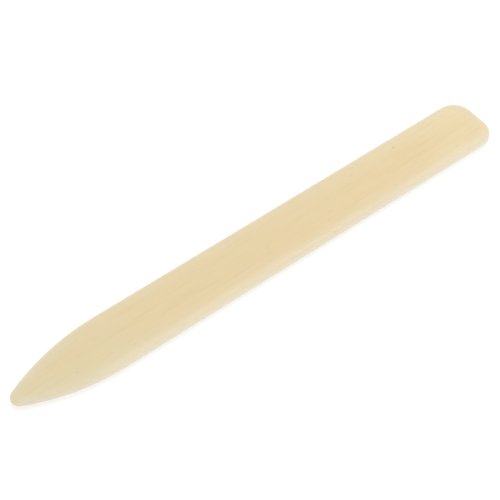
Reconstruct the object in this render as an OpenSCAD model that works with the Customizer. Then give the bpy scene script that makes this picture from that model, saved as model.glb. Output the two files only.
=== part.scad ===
// Bone folder: a flat blade of bone for pressing seams open and creasing folds.
// It lies on the XY plane, with its point towards -X and its heel towards +X. The heel end is slanted,
// so the side at -Y is the longer one. The origin is on the resting face, below the middle of the blade.

/* [Blade] */
// Overall length, from the nose to the heel
blade_length = 152; // [120:1:210]
// Width across the two parallel sides
blade_width = 16.6; // [13:0.1:26]
// Thickness of the flat faces
blade_thickness = 3; // [2.4:0.1:4.5]

/* [Point] */
// Length of the curved point, from the nose to the parallel sides
point_length = 28.6; // [20:0.1:45]
// Radius of the nose, seen from above
nose_radius = 2.5; // [2.2:0.1:4]
// Thickness of the nose. Both faces are sanded down towards it over the length of the point
nose_thickness = 2.2; // [1.2:0.1:2.4]

/* [Heel] */
// Slant of the heel end, in degrees away from square
heel_slant = 6; // [0:0.5:15]
// Radius of the heel corner on the longer side
long_corner_radius = 5; // [2.2:0.1:6]
// Radius of the heel corner on the shorter side
short_corner_radius = 6.1; // [2.2:0.1:6.4]

/* [Edge] */
// How far in from the rim the faces begin to fall away
edge_depth = 2; // [0.8:0.1:2.1]
// Fullness of the rounded edge, where 2 is an ellipse and more is squarer
edge_fullness = 2.2; // [1.6:0.1:4]

/* [Smoothness] */
// Steps around each heel corner, and around each half of the nose
corner_steps = 12; // [6:1:18]
// Steps along each curved flank of the point
flank_steps = 20; // [8:1:28]
// Steps around the edge, from one face to the other
edge_steps = 12; // [6:2:16]

/* [Hidden] */

bone_colour = [0.91, 0.83, 0.66];
half_width = blade_width / 2;
half_length = blade_length / 2;

// Each flank is an arc that is tangent to the nose and to its parallel side
nose_x = nose_radius - half_length;
shoulder_x = point_length - half_length;
flank_run = shoulder_x - nose_x;
flank_radius = (pow(flank_run, 2) / (half_width - nose_radius) + half_width + nose_radius) / 2;
flank_offset = flank_radius - half_width;
flank_angle = atan2(flank_run, flank_offset);

// The heel end is tangent to both heel corners, and heel_reach is its distance from the origin
heel_normal = [cos(heel_slant), sin(heel_slant)];
long_corner = [half_length - long_corner_radius, long_corner_radius - half_width];
heel_reach = long_corner * heel_normal + long_corner_radius;
short_y = half_width - short_corner_radius;
short_x = (heel_reach - short_corner_radius - short_y * heel_normal[1]) / heel_normal[0];

// A stop on the outline is the centre, radius and angle of an arc at one place, so that
// the point at any depth in from the rim lies towards the same centre
function arc(centre, radius, from, to, steps, first = 1) =
    [for (i = [first:steps]) [centre, radius, from + (to - from) * i / steps]];
function inset_point(stop, depth) =
    stop[0] + (stop[1] - depth) * [cos(stop[2]), sin(stop[2])];

// Stops from the nose to the heel end, along the longer side and along the shorter side
long_side = concat(
    arc([nose_x, 0], nose_radius, 180, 270 - flank_angle, corner_steps, first = 0),
    arc([shoulder_x, flank_offset], flank_radius, 270 - flank_angle, 270, flank_steps),
    arc(long_corner, long_corner_radius, 270, 360 + heel_slant, corner_steps, first = 0));
short_side = concat(
    arc([nose_x, 0], nose_radius, 180, 90 + flank_angle, corner_steps, first = 0),
    arc([shoulder_x, -flank_offset], flank_radius, 90 + flank_angle, 90, flank_steps),
    arc([short_x, short_y], short_corner_radius, 90, heel_slant, corner_steps, first = 0));
last = len(long_side) - 1;
outline = concat(long_side, [for (i = [last:-1:1]) short_side[i]]);
stops = len(outline);

// The rounded edge is a quarter of a superellipse, mirrored about the middle of the thickness
function edge_inset(a) = edge_depth * (1 - pow(cos(a), 2 / edge_fullness));
function edge_height(a) = sign(a) * pow(abs(sin(a)), 2 / edge_fullness) / 2;
function thickness_at(x) =
    let (share = min(1, (x + half_length) / point_length))
    nose_thickness + (blade_thickness - nose_thickness) * sin(90 * share);

// Each ring of points runs once around the outline, from the lower face up to the upper face
function ring(a) = [for (stop = outline)
    let (p = inset_point(stop, edge_inset(a)))
    [p[0], p[1], blade_thickness / 2 + edge_height(a) * thickness_at(p[0])]];

module bone_folder() {
    rings = [for (j = [0:edge_steps]) ring(180 * j / edge_steps - 90)];
    top = edge_steps * stops;
    edge_faces = [for (j = [0:edge_steps - 1], i = [0:stops - 1])
        let (k = (i + 1) % stops, low = j * stops, high = low + stops)
        [low + i, high + i, high + k, low + k]];
    face_strips = [for (i = [0:last - 1])
        let (a = (stops - i) % stops, b = stops - i - 1)
        i == 0 ? [0, 1, b] : [i, i + 1, b, a]];
    lower_faces = face_strips;
    upper_faces = [for (strip = face_strips)
        [for (k = [len(strip) - 1:-1:0]) strip[k] + top]];
    color(bone_colour)
        polyhedron(points = [for (r = rings) each r],
            faces = concat(edge_faces, lower_faces, upper_faces));
}

bone_folder();
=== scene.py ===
# %% [markdown]
# # A bone folder
#
# A bone folder is one flat blade of polished bone. It presses seams open, turns out corners and
# creases folds. It has no joints and no second piece, so everything that makes it look right is in
# its outline, in its softly rounded edge and in the bone itself.
#
# This lesson draws the blade as a maker lays it out: arcs with a compass, straight sides with a ruler,
# then the edges are sanded round and the point is thinned. Each cell makes or finishes one thing.

import math

import bmesh
import bpy
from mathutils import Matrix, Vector
from mathutils.kdtree import KDTree


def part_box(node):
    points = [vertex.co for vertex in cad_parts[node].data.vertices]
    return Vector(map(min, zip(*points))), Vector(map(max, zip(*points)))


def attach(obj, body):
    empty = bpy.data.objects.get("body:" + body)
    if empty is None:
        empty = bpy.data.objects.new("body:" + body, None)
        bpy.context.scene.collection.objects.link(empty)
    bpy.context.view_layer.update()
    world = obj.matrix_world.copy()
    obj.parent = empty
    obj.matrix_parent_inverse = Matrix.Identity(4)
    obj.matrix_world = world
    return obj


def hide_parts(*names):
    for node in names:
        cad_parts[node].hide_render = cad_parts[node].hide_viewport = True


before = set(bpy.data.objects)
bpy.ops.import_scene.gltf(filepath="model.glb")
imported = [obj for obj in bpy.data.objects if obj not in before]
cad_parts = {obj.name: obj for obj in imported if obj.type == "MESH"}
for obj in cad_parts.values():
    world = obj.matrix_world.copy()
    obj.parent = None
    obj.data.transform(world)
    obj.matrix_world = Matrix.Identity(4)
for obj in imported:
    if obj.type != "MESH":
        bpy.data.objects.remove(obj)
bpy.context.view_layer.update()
MM = 0.001

# %% [markdown]
# ## The sizes of the blade
#
# The length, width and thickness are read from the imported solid, so the visible blade can never drift
# away from it. The radii are the ones a maker would note on a drawing: a nose, two long curved flanks
# and two heel corners. Each flank touches the nose and its straight side without a corner, and that
# fixes its radius.

# %% Sizes
low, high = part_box("bone_folder")
half_width = (high.y - low.y) / 2
half_thickness = (high.z - low.z) / 2
middle = (low.z + high.z) / 2

point_length = 28.6 * MM
nose_radius = 2.5 * MM
nose_thickness = 2.2 * MM
heel_slant = math.radians(6)
long_corner_radius = 5 * MM
short_corner_radius = 6.1 * MM
edge_depth = 2 * MM
edge_fullness = 2.2

shoulder_x = low.x + point_length
flank_run = point_length - nose_radius
flank_radius = (flank_run**2 / (half_width - nose_radius) + half_width + nose_radius) / 2
flank_offset = flank_radius - half_width
flank_angle = math.atan2(flank_run, flank_offset)
print("flank radius, mm:", round(flank_radius / MM, 2))

# %% [markdown]
# The heel end is slanted by a few degrees. Its line touches both corner arcs, so the place of the
# second corner follows from the first one.

# %% Heel corners
slant_direction = Vector((math.cos(heel_slant), math.sin(heel_slant), 0))
long_corner = Vector((high.x - long_corner_radius, long_corner_radius - half_width, middle))
heel_reach = long_corner.xy.dot(slant_direction.xy) + long_corner_radius
short_y = half_width - short_corner_radius
short_x = (heel_reach - short_corner_radius - short_y * slant_direction.y) / slant_direction.x
short_corner = Vector((short_x, short_y, middle))
print("heel corners, mm:", long_corner / MM, short_corner / MM)

# %% [markdown]
# ## Drawing the outline
#
# The outline could be a curve, but arcs and straight lines are easier to trust when they are drawn as
# on paper. A single point is put at the nose. Spin swings the last point round a centre and leaves an
# arc of edges behind it, and extrude pulls it along in a straight line.
#
# Without a window, Spin turns clockwise for a positive angle, so the helper below turns its sign
# round and takes anticlockwise angles as positive, as in school geometry.

# %% Drawing tools
CORNER_STEPS = 12
FLANK_STEPS = 20


def edit_mesh():
    return bmesh.from_edit_mesh(blade.data)


def draw_arc(centre, angle, steps):
    bpy.ops.mesh.spin(steps=steps, angle=-angle, center=centre, axis=(0, 0, 1))


def draw_line(to):
    pen = next(point.co.copy() for point in edit_mesh().verts if point.select)
    bpy.ops.mesh.extrude_region_move(TRANSFORM_OT_translate={"value": Vector(to) - pen})


def draw_side(sign, corner, turn):
    """Draws one long side, from the nose to the heel end. sign is -1 for the side at -Y."""
    nose_centre = Vector((low.x + nose_radius, 0, middle))
    flank_centre = Vector((shoulder_x, -sign * flank_offset, middle))
    draw_arc(nose_centre, -sign * (math.pi / 2 - flank_angle), CORNER_STEPS)
    draw_arc(flank_centre, -sign * flank_angle, FLANK_STEPS)
    draw_line((corner.x, sign * half_width, middle))
    draw_arc(corner, -sign * turn, CORNER_STEPS)


# %% [markdown]
# A mesh can't start from nothing, so a tiny plane is added and its corners are merged to one point.
# The point is moved to the nose, and the longer side is drawn from there.

# %% Draw the longer side
nose_tip = Vector((low.x, 0, middle))
bpy.ops.object.select_all(action="DESELECT")
bpy.ops.mesh.primitive_plane_add(size=MM, enter_editmode=True, location=(0, 0, 0))
blade = bpy.context.object
blade.name = "bone_blade"
blade.data.name = "bone_blade"
bpy.ops.mesh.merge(type="CENTER")
bpy.ops.transform.translate(value=nose_tip)
draw_side(-1, long_corner, math.pi / 2 + heel_slant)
print("points on the longer side:", len(edit_mesh().verts))

# %% [markdown]
# The shorter side starts from a copy of the nose point. Selecting by hand means clicking. In a script,
# a test on the place of each point or edge does the clicking. The two sides stay separate lines for
# now, because the tool that comes next joins two separate lines.

# %% Draw the shorter side
TOUCHING = 0.001 * MM


def select(kind, test):
    """Selects the points ("VERT") or edges ("EDGE") that pass a test, and gives their number."""
    bpy.ops.mesh.select_mode(type=kind)
    bpy.ops.mesh.select_all(action="DESELECT")
    mesh = edit_mesh()
    items = mesh.verts if kind == "VERT" else mesh.edges
    for item in items:
        item.select = test(item)
    mesh.select_flush_mode()
    bmesh.update_edit_mesh(blade.data)
    return sum(item.select for item in items)


select("VERT", lambda point: (point.co - nose_tip).length < TOUCHING)
bpy.ops.mesh.duplicate()
draw_side(1, short_corner, math.pi / 2 - heel_slant)
print("outline points:", len(edit_mesh().verts))

# %% [markdown]
# The straight sides are still single edges. They are cut into short lengths, as many on one side as
# on the other, so that the sanding later on has points to move.

# %% Cut the straight lines
SIDE_CUTS = 47

select("EDGE", lambda edge: edge.calc_length() > point_length)
bpy.ops.mesh.subdivide(number_cuts=SIDE_CUTS)
print("outline points:", len(edit_mesh().verts))

# %% [markdown]
# ## From outline to sheet
#
# Bridge Edge Loops lays a strip of faces between two lines. Here it fills the outline with narrow
# strips across the blade, and the last strip leaves the slanted heel end straight. The doubled
# point at the nose is then merged.

# %% Bridge the two sides
bpy.ops.mesh.select_mode(type="EDGE")
bpy.ops.mesh.select_all(action="SELECT")
bpy.ops.mesh.bridge_edge_loops()
bpy.ops.mesh.select_all(action="SELECT")
bpy.ops.mesh.remove_doubles(threshold=TOUCHING)
bpy.ops.mesh.normals_make_consistent(inside=False)
sheet = edit_mesh()
if sum(face.normal.z for face in sheet.faces) < 0:
    bpy.ops.mesh.flip_normals()
print("sheet:", len(sheet.verts), "points,", len(sheet.faces), "faces")

# %% [markdown]
# ## The rounded edge
#
# The edge of a folder is sanded until it feels soft, so its section is neither a plain bevel nor a
# quarter circle: it is a little fuller than an ellipse. Inset with a depth is the tool for it. Each
# step moves the rim of the sheet inwards and lifts what is left, by amounts from the formula for a
# superellipse. Because Inset keeps an even distance all round, nose and corners come out right too.

# %% Round the upper edge
EDGE_STEPS = 8


def edge_place(step):
    """How far in from the rim and how high above the middle the edge is after a step, in metres."""
    angle = math.pi / 2 * step / EDGE_STEPS
    inwards = edge_depth * (1 - max(0, math.cos(angle)) ** (2 / edge_fullness))
    upwards = half_thickness * math.sin(angle) ** (2 / edge_fullness)
    return inwards, upwards


bpy.ops.mesh.select_mode(type="FACE")
bpy.ops.mesh.select_all(action="SELECT")
for step in range(EDGE_STEPS):
    inwards, upwards = edge_place(step)
    further_in, further_up = edge_place(step + 1)
    bpy.ops.mesh.inset(thickness=further_in - inwards, depth=further_up - upwards)
print("upper half:", len(edit_mesh().faces), "faces, up to", round(further_up / MM, 3), "mm")

# %% [markdown]
# The flat face is still made of strips that are as wide as the blade. Cutting every edge that
# crosses it, and the matching long edges round the heel end, gives rows along the blade as well.

# %% Cut rows along the blade
ROW_CUTS = 5
LEVEL = 0.9999
LONG_STEP = 3 * MM


def crosses_the_blade(edge):
    on_flat_face = len(edge.link_faces) == 2 and all(face.normal.z > LEVEL for face in edge.link_faces)
    across = abs(edge.verts[1].co.y - edge.verts[0].co.y)
    return on_flat_face or across > LONG_STEP


print("edges across:", select("EDGE", crosses_the_blade))
bpy.ops.mesh.subdivide(number_cuts=ROW_CUTS)
print("upper half:", len(edit_mesh().faces), "faces")

# %% [markdown]
# ## The lower half
#
# The lower face is the mirror image of the upper one. A duplicate is flipped over at half thickness,
# the doubled points round the rim are merged, and then the normals are made to point outwards,
# because a mirrored face points the wrong way.

# %% Mirror to the lower half
bpy.ops.mesh.select_mode(type="VERT")
bpy.ops.mesh.select_all(action="SELECT")
bpy.ops.mesh.duplicate()
bpy.ops.transform.resize(value=(1, 1, -1), center_override=(0, 0, middle))
bpy.ops.mesh.select_all(action="SELECT")
bpy.ops.mesh.remove_doubles(threshold=TOUCHING)
bpy.ops.mesh.normals_make_consistent(inside=False)
print("whole blade:", len(edit_mesh().verts), "points")

# %% [markdown]
# ## Thinning the point
#
# Both faces are sanded down towards the nose, so that it slips into a narrow corner. Proportional
# editing does the same thing: the nose is squeezed in thickness, and the squeeze fades out over the
# length of the point.

# %% Thin the point
NOSE_REACH = 0.01 * MM

squeezed = select("VERT", lambda point: point.co.x < low.x + NOSE_REACH)
bpy.ops.transform.resize(
    value=(1, 1, nose_thickness / (2 * half_thickness)),
    center_override=(0, 0, middle),
    use_proportional_edit=True,
    proportional_edit_falloff="SHARP",
    proportional_size=point_length,
)
bpy.ops.object.mode_set(mode="OBJECT")
print("points squeezed at the nose:", squeezed)

# %% [markdown]
# ## Smoothing, and the traces of handwork
#
# Subdivision Surface turns the steps into a smooth curve. A folder is sanded by hand, so its faces are
# never as true as glass: a Displace modifier with a soft cloud texture takes off up to a few
# hundredths of a millimetre here and there. Its middle level is 1, so it only ever removes material
# and the blade stays inside its nominal size. Both modifiers are applied, in that order.

# %% Smooth and sand
SMOOTH_LEVELS = 2
WAVE_LENGTH = 14 * MM
WAVE_DEPTH = 0.04 * MM

smooth = blade.modifiers.new("smooth", "SUBSURF")
smooth.levels = SMOOTH_LEVELS
smooth.render_levels = SMOOTH_LEVELS
sanding_waves = bpy.data.textures.new("sanding_waves", "CLOUDS")
sanding_waves.noise_scale = WAVE_LENGTH
sanding = blade.modifiers.new("sanding", "DISPLACE")
sanding.texture = sanding_waves
sanding.texture_coords = "LOCAL"
sanding.mid_level = 1
sanding.strength = WAVE_DEPTH
bpy.ops.object.select_all(action="DESELECT")
blade.select_set(True)
bpy.context.view_layer.objects.active = blade
for modifier in (smooth.name, sanding.name):
    bpy.ops.object.modifier_apply(modifier=modifier)
bpy.ops.object.shade_smooth()
print("finished blade:", len(blade.data.polygons), "faces")

# %% [markdown]
# The bone is thinner near its rim, and light shines into it there. The material has to know how far
# each point is from the rim, so the distance is measured once and stored on the mesh as an attribute.
# The rim is where the normal is level, and a k-d tree finds the nearest rim point quickly.

# %% Measure the distance to the rim
LEVEL_NORMAL = 0.03

rim_points = [point.co for point in blade.data.vertices if abs(point.normal.z) < LEVEL_NORMAL]
rim_tree = KDTree(len(rim_points))
for number, place in enumerate(rim_points):
    rim_tree.insert(place, number)
rim_tree.balance()
distances = [rim_tree.find(point.co)[2] / MM for point in blade.data.vertices]
rim_distance = blade.data.attributes.new("rim_distance", "FLOAT", "POINT")
rim_distance.data.foreach_set("value", distances)
print("rim points:", len(rim_points), "largest distance, mm:", round(max(distances), 2))

# %% [markdown]
# ## The bone
#
# Polished bone is a warm cream. Three things keep it from looking like plastic. The tone drifts
# slowly along the blade, greyer towards the nose and lighter towards the heel. Fine fibres run
# lengthwise, with a few short brown lines where tiny blood vessels ran. And light enters the surface
# and comes out again nearby, most of all at the thin rim; the paler rim is also painted into the colour as
# a glow.
#
# An image could carry all this, but node patterns stay sharp at any distance and need no unwrapping.
# The helpers below each add one node, so that the cells after them read like a recipe.

# %% Material helpers
bone = bpy.data.materials.new("bone")
bone.use_nodes = True
nodes = bone.node_tree.nodes
surface = nodes["Principled BSDF"]


def join(output, socket):
    bone.node_tree.links.new(output, socket)


def node(kind, title, **settings):
    made = nodes.new(kind)
    made.label = title
    for name, value in settings.items():
        setattr(made, name, value)
    return made


def calculate(title, operation, *values):
    """A sum with numbers or the outputs of nodes."""
    made = node("ShaderNodeMath", title, operation=operation)
    for socket, value in zip(made.inputs, values):
        if isinstance(value, (int, float)):
            socket.default_value = value
        else:
            join(value, socket)
    return made.outputs["Value"]


def remap(title, value, start, end, at_start=0, at_end=1, shape="SMOOTHSTEP"):
    """Turns a value that runs from start to end into one that runs from at_start to at_end."""
    made = node("ShaderNodeMapRange", title, interpolation_type=shape)
    made.inputs["From Min"].default_value = start
    made.inputs["From Max"].default_value = end
    made.inputs["To Min"].default_value = at_start
    made.inputs["To Max"].default_value = at_end
    join(value, made.inputs["Value"])
    return made.outputs["Result"]


def tint(title, amount, under, over):
    """Mixes a colour over another by an amount. Both may be a colour or the output of a node."""
    made = node("ShaderNodeMix", title, data_type="RGBA")
    under_socket, over_socket = [socket for socket in made.inputs if socket.type == "RGBA"]
    join(amount, made.inputs["Factor"])
    for socket, colour in ((under_socket, under), (over_socket, over)):
        if isinstance(colour, tuple):
            socket.default_value = (*colour, 1)
        else:
            join(colour, socket)
    return next(output for output in made.outputs if output.type == "RGBA")


print("material:", bone.name)

# %% [markdown]
# All patterns read Object coordinates, so they sit still in the blade. Bone grows in long threads, so
# each noise is stretched along X by a Mapping node: its scale makes one unit of noise so many
# millimetres long and so many wide.

# %% Patterns along the grain
where = node("ShaderNodeTexCoord", "where").outputs["Object"]
where_parts = node("ShaderNodeSeparateXYZ", "where in parts")
join(where, where_parts.inputs["Vector"])
lengthwise = where_parts.outputs["X"]
crosswise = where_parts.outputs["Y"]


def grain(title, length, width, detail=3, roughness=0.5):
    """Noise whose clouds are so many millimetres long and wide."""
    stretch = node("ShaderNodeMapping", title + " stretched")
    stretch.inputs["Scale"].default_value = (1 / (length * MM), 1 / (width * MM), 1 / (width * MM))
    join(where, stretch.inputs["Vector"])
    made = node("ShaderNodeTexNoise", title)
    made.inputs["Scale"].default_value = 1
    made.inputs["Detail"].default_value = detail
    made.inputs["Roughness"].default_value = roughness
    join(stretch.outputs["Vector"], made.inputs["Vector"])
    return made.outputs["Fac"]


print("patterns read:", where.name)

# %% [markdown]
# Colour comes first. The body colour turns a little greyer towards the nose and lighter towards the
# heel, each over a little more than a third of the length.

# %% Colour along the blade
NOSE_COLOUR = (0.695, 0.620, 0.385)
BODY_COLOUR = (0.732, 0.588, 0.335)
HEEL_COLOUR = (0.780, 0.645, 0.380)
NOSE_DRIFT = 55 * MM
HEEL_DRIFT = 60 * MM

to_body = remap("nose to body", lengthwise, low.x, low.x + NOSE_DRIFT)
tone = tint("nose end", to_body, NOSE_COLOUR, BODY_COLOUR)
to_heel = remap("body to heel", lengthwise, high.x - HEEL_DRIFT, high.x)
tone = tint("heel end", to_heel, tone, HEEL_COLOUR)
print("body colour:", BODY_COLOUR)

# %% [markdown]
# Two patterns break the colour up: broad patches about three centimetres long, and the fibres, twenty
# times longer than wide. Both are kept faint, because good bone is chosen for its even tone.

# %% Patches and fibres
PATCH_COLOUR = (0.730, 0.555, 0.300)
PATCH_STRENGTH = 0.5
FIBRE_COLOUR = (0.600, 0.440, 0.230)
FIBRE_STRENGTH = 0.34

patches = remap("patches", grain("clouds", 30, 9), 0.35, 0.75, at_end=PATCH_STRENGTH)
tone = tint("patchy", patches, tone, PATCH_COLOUR)
fibre_noise = grain("fibres", 16, 0.8, detail=5, roughness=0.6)
fibres = remap("fibre strength", fibre_noise, 0.45, 0.85, at_end=FIBRE_STRENGTH)
tone = tint("fibrous", fibres, tone, FIBRE_COLOUR)
print("fibre strength:", FIBRE_STRENGTH)

# %% [markdown]
# The vessel lines are the same kind of noise, finer, and cut off so high that only a few short marks
# are left.

# %% Vessel lines
VESSEL_COLOUR = (0.42, 0.28, 0.12)
VESSEL_STRENGTH = 0.40

vessel_noise = grain("vessels", 2.6, 0.22, detail=2)
vessels = remap("vessel strength", vessel_noise, 0.68, 0.78, at_end=VESSEL_STRENGTH)
tone = tint("with vessels", vessels, tone, VESSEL_COLOUR)
print("vessel strength:", VESSEL_STRENGTH)

# %% [markdown]
# One faint dark speck sits on the upper face near the heel, as natural bone often has. It is a small
# ball of colour around one point of the surface, so it needs no pattern of its own.

# %% A speck
SPECK_COLOUR = (0.30, 0.20, 0.10)
SPECK_STRENGTH = 0.25
SPECK_PLACE = Vector((48.8 * MM, 4.9 * MM, high.z))
SPECK_RADIUS = 0.22 * MM
SPECK_FADE = 2.4 * SPECK_RADIUS

to_speck = node("ShaderNodeVectorMath", "distance to the speck", operation="DISTANCE")
join(where, to_speck.inputs[0])
to_speck.inputs[1].default_value = SPECK_PLACE
speck = remap("speck", to_speck.outputs["Value"], SPECK_RADIUS, SPECK_FADE, SPECK_STRENGTH, 0)
tone = tint("with speck", speck, tone, SPECK_COLOUR)
print("speck, mm:", SPECK_PLACE / MM)

# %% [markdown]
# Painted glow: where the bone is thin, light shining through it is painted into the colour, so the tone
# fades to ivory at the rim. The tint is even over the first part of a millimetre and then halves with each
# millimetre.

# %% Painted rim glow
RIM_GLOW_COLOUR = (0.742, 0.688, 0.540)
RIM_GLOW_STRENGTH = 0.85
RIM_GLOW_EVEN = 0.8
GLOW_FADE_PER_MM = 0.50

near_rim = node("ShaderNodeAttribute", "distance to the rim", attribute_name="rim_distance").outputs["Fac"]
beyond = calculate("past the even part", "SUBTRACT", near_rim, RIM_GLOW_EVEN)
beyond = calculate("not below nothing", "MAXIMUM", beyond, 0)
rim = calculate("rim", "POWER", GLOW_FADE_PER_MM, beyond)
rim = calculate("rim strength", "MULTIPLY", rim, RIM_GLOW_STRENGTH)
# Painted glow: the rim is mixed towards pale ivory, as if light shone through the thin bone.
tone = tint("with rim", rim, tone, RIM_GLOW_COLOUR)
print("rim strength:", RIM_GLOW_STRENGTH)

# %% [markdown]
# Painted light: the long side at -Y, towards the low lamp, is painted paler than the other, most of all
# at its edge, where the light falls on it.

# %% Painted light on the -Y side
LIT_SIDE_COLOUR = (0.815, 0.750, 0.590)
LIT_SIDE_STRENGTH = 0.30
LIT_SIDE_REACH = 7 * MM
LIT_SIDE_FALL = 4

side = remap("from the pale side", crosswise, low.y, low.y + LIT_SIDE_REACH, 1, 0, shape="LINEAR")
side = calculate("pale side", "POWER", side, LIT_SIDE_FALL)
side = calculate("pale side strength", "MULTIPLY", side, LIT_SIDE_STRENGTH)
# Painted light: the -Y side is mixed towards a paler colour, as if lit more strongly.
tone = tint("with pale side", side, tone, LIT_SIDE_COLOUR)
join(tone, surface.inputs["Base Color"])
print("pale side strength:", LIT_SIDE_STRENGTH)

# %% [markdown]
# ## The polish
#
# Hands polish a folder. The rim is touched most and is the smoothest, and the faces keep a satin feel
# with faint lengthwise sanding lines. So the roughness follows a very fine grain, and drops near the
# rim.

# %% Roughness
SATIN_FINE = 0.40
SATIN_COARSE = 0.54
RIM_POLISH = 0.05

sanding_lines = grain("sanding lines", 7, 0.12, detail=4, roughness=0.7)
satin = remap("satin", sanding_lines, 0.3, 0.7, SATIN_FINE, SATIN_COARSE)
polish = remap("polish", near_rim, 0.3, 2.5, RIM_POLISH, 0)
join(calculate("roughness", "SUBTRACT", satin, polish), surface.inputs["Roughness"])
print("roughness:", round(SATIN_FINE - RIM_POLISH, 2), "to", SATIN_COARSE)

# %% [markdown]
# A shallow bump makes the fibres and the sanding lines catch the light. The vessel lines are slightly
# open, so they are taken away from the height and become its deepest part.

# %% Bump
FIBRE_HEIGHT = 0.5
SANDING_HEIGHT = 0.22
RELIEF = 0.03 * MM

fibre_height = calculate("fibre height", "MULTIPLY", fibre_noise, FIBRE_HEIGHT)
sanding_height = calculate("sanding height", "MULTIPLY", sanding_lines, SANDING_HEIGHT)
height = calculate("height", "ADD", fibre_height, sanding_height)
height = calculate("open vessels", "SUBTRACT", height, vessels)
bump = node("ShaderNodeBump", "bump")
bump.inputs["Strength"].default_value = 0.6
bump.inputs["Distance"].default_value = RELIEF
join(height, bump.inputs["Height"])
join(bump.outputs["Normal"], surface.inputs["Normal"])
print("relief, mm:", RELIEF / MM)

# %% [markdown]
# What is the same all over is set on the shader itself. Light travels about a millimetre inside bone,
# red further than blue. A thin coat stands for the handled, faintly waxy surface.

# %% Constant properties
surface.inputs["IOR"].default_value = 1.54
surface.inputs["Subsurface Weight"].default_value = 0.35
surface.inputs["Subsurface Radius"].default_value = (1.0, 0.8, 0.55)
surface.inputs["Subsurface Scale"].default_value = 1.0 * MM
surface.inputs["Coat Weight"].default_value = 0.08
surface.inputs["Coat Roughness"].default_value = 0.28
blade.data.materials.append(bone)
print("nodes in the bone:", len(nodes))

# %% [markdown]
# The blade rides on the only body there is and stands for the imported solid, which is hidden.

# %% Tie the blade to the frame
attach(blade, "root")
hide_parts("bone_folder")

# %% [markdown]
# ## The studio
#
# A small pale thing is shown on a white sheet, inside a light tent. The sheet is a large disc that
# glows a little by itself, so it stays white right up to the blade, and lies a hair below it.

# %% Floor
FLOOR_RADIUS = 4
FLOOR_DROP = 0.2 * MM
PAPER_GREY = (0.42, 0.42, 0.42, 1)
PAPER_GLOW = 0.60

bpy.ops.object.select_all(action="DESELECT")
bpy.ops.mesh.primitive_circle_add(
    vertices=96, radius=FLOOR_RADIUS, fill_type="NGON", location=(0, 0, -FLOOR_DROP)
)
floor = bpy.context.object
floor.name = "studio_floor"
paper = bpy.data.materials.new("white_sheet")
paper.use_nodes = True
paper_surface = paper.node_tree.nodes["Principled BSDF"]
paper_surface.inputs["Base Color"].default_value = PAPER_GREY
paper_surface.inputs["Roughness"].default_value = 0.9
paper_surface.inputs["Specular IOR Level"].default_value = 0.1
paper_surface.inputs["Emission Color"].default_value = (1, 1, 1, 1)
paper_surface.inputs["Emission Strength"].default_value = PAPER_GLOW
floor.data.materials.append(paper)
print("floor radius, m:", FLOOR_RADIUS)

# %% [markdown]
# The tent is the world around the scene. A colour ramp sets its brightness by height: full at the
# horizon, so that the sheet has no visible end, and softer above, so that the blade keeps its shading.
# A new ramp has a stop at each end already, so only the two in between are added.

# %% Light tent
TENT = ((0, 1.0), (0.2, 0.74), (0.5, 0.84), (1, 0.84))

world = bpy.data.worlds.new("light_tent")
world.use_nodes = True
bpy.context.scene.world = world
world_nodes = world.node_tree.nodes
direction = world_nodes.new("ShaderNodeTexCoord")
direction_parts = world_nodes.new("ShaderNodeSeparateXYZ")
tent_ramp = world_nodes.new("ShaderNodeValToRGB")
world.node_tree.links.new(direction.outputs["Generated"], direction_parts.inputs["Vector"])
world.node_tree.links.new(direction_parts.outputs["Z"], tent_ramp.inputs["Fac"])
world.node_tree.links.new(tent_ramp.outputs["Color"], world_nodes["Background"].inputs["Color"])

stops = tent_ramp.color_ramp.elements
for height_in_tent, brightness in TENT[1:-1]:
    stops.new(height_in_tent)
for stop, (_, brightness) in zip(stops, TENT):
    stop.color = (brightness, brightness, brightness, 1)
print("tent:", [(round(stop.position, 2), round(stop.color[0], 2)) for stop in stops])

# %% [markdown]
# One big soft lamp above gives the faces their light. Two small lamps stand low, one on each long
# side, the stronger one on the pale side. They only lift the shade under the rounded edges, so they
# are kept out of reflections, where they would leave a hard glare.

# %% Lamps
def soft_lamp(name, stand, size, power, shines):
    """A square lamp that looks at the middle of the blade. shines says whether reflections show it."""
    light = bpy.data.lights.new(name, "AREA")
    light.shape = "SQUARE"
    light.size = size
    light.energy = power
    lamp = bpy.data.objects.new(name, light)
    bpy.context.collection.objects.link(lamp)
    lamp.location = stand
    lamp.rotation_mode = "QUATERNION"
    lamp.rotation_quaternion = (-Vector(stand)).to_track_quat("-Z", "Y")
    lamp.visible_camera = False
    lamp.visible_glossy = shines
    print(name, "at", stand)


soft_lamp("window_lamp", (0.30, 0.15, 0.90), 0.6, 2.6, shines=True)
soft_lamp("low_lamp", (0.15, -0.95, 0.05), 0.1, 1.05, shines=False)
soft_lamp("fill_lamp", (-0.15, 0.95, 0.05), 0.1, 0.2, shines=False)

# %% [markdown]
# ## The camera
#
# The camera stands on the point's side, thirty centimetres away and about sixty degrees up, with a
# slightly long lens. Its place is worked out from the aim point, the two angles and the distance. The
# Standard view transform keeps white paper white.

# %% Camera
ELEVATION = math.radians(60.23)
TURN = math.radians(35.07)
DISTANCE = 300 * MM
AIM = Vector((-2.57 * MM, 1.55 * MM, middle))

camera_data = bpy.data.cameras.new("camera")
camera_data.sensor_width = 36
camera_data.lens = 80.9
camera_data.clip_start = 0.01
camera_data.clip_end = 20
camera = bpy.data.objects.new("camera", camera_data)
bpy.context.collection.objects.link(camera)
level_look = Vector((math.sin(TURN), math.cos(TURN), 0))
look = level_look * math.cos(ELEVATION) - Vector((0, 0, math.sin(ELEVATION)))
camera.location = AIM - look * DISTANCE
camera.rotation_mode = "QUATERNION"
camera.rotation_quaternion = look.to_track_quat("-Z", "Y")
bpy.context.scene.camera = camera
bpy.context.scene.view_settings.view_transform = "Standard"
print("camera, mm:", [round(side / MM, 1) for side in camera.location])
